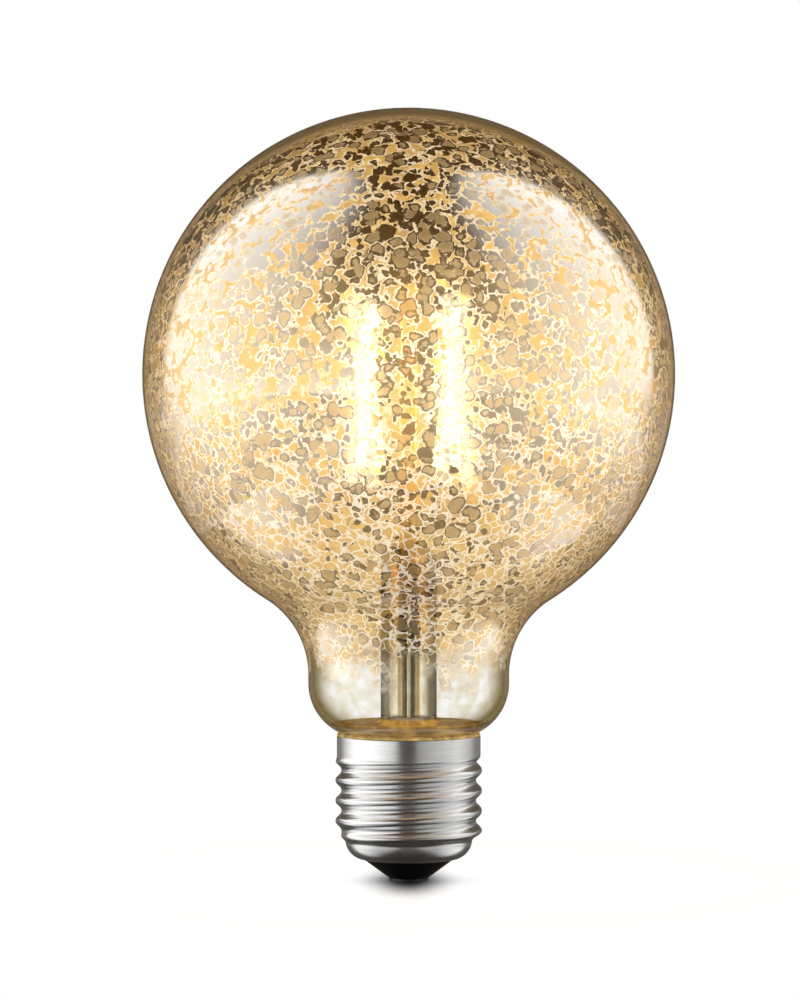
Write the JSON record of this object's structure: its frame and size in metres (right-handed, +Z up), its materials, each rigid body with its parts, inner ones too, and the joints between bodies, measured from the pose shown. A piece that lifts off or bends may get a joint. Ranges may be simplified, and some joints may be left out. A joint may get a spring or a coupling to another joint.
{
  "type": "led globe bulb",
  "caption": "Round LED filament bulb: blown glass globe with a mottled gold mirror coat, glass stem with lit filament bars, and a rolled screw cap with a black foot.",
  "frame": {"origin": "centre of the underside of the centre contact", "axes": "+Z up the lamp axis from the contact to the crown of the globe, -Y towards the viewer, +X to the viewer's right"},
  "size_m": [0.095, 0.095, 0.138],
  "materials": {
    "coated_glass": "blown glass with a mottled gold mirror coat that fades to clear at the neck",
    "clear_glass": "clear drawn glass",
    "cap_metal": "satin rolled sheet",
    "insulator": "smooth black",
    "contact_metal": "pressed, dull",
    "cement": "matt tan, slightly grainy",
    "wire_metal": "drawn wire, plain",
    "phosphor": "silicone with yellow phosphor, lit",
    "board": "green laminate",
    "package": "moulded black",
    "chip_body": "fired black",
    "can_sleeve": "shrunk sleeve",
    "resistor_coat": "dipped lacquer",
    "hook_up_wire": "thin white sleeve"
  },
  "bodies": {
    "root": {"globe_envelope": "coated_glass", "screw_shell": "cap_metal", "basing_cement": "cement", "cap_insulator": "insulator", "centre_contact": "contact_metal", "stem_flare": "clear_glass", "exhaust_tube": "clear_glass", "support_rod": "clear_glass", "driver_board": "board", "bridge_rectifier": "package", "driver_chip": "package", "chip_resistors": "chip_body", "smoothing_capacitor": "can_sleeve", "fusible_resistor": "resistor_coat", "live_wire": "hook_up_wire", "neutral_wire": "hook_up_wire", "lead_wire_left": "wire_metal", "lead_wire_right": "wire_metal", "jumper_wire_left": "wire_metal", "jumper_wire_right": "wire_metal", "top_wire_lower": "wire_metal", "top_wire_upper": "wire_metal", "led_filament_1": "phosphor", "filament_1_lower_tab": "wire_metal", "filament_1_upper_tab": "wire_metal", "led_filament_2": "phosphor", "filament_2_lower_tab": "wire_metal", "filament_2_upper_tab": "wire_metal", "led_filament_3": "phosphor", "filament_3_lower_tab": "wire_metal", "filament_3_upper_tab": "wire_metal", "led_filament_4": "phosphor", "filament_4_lower_tab": "wire_metal", "filament_4_upper_tab": "wire_metal"}
  },
  "joints": []
}
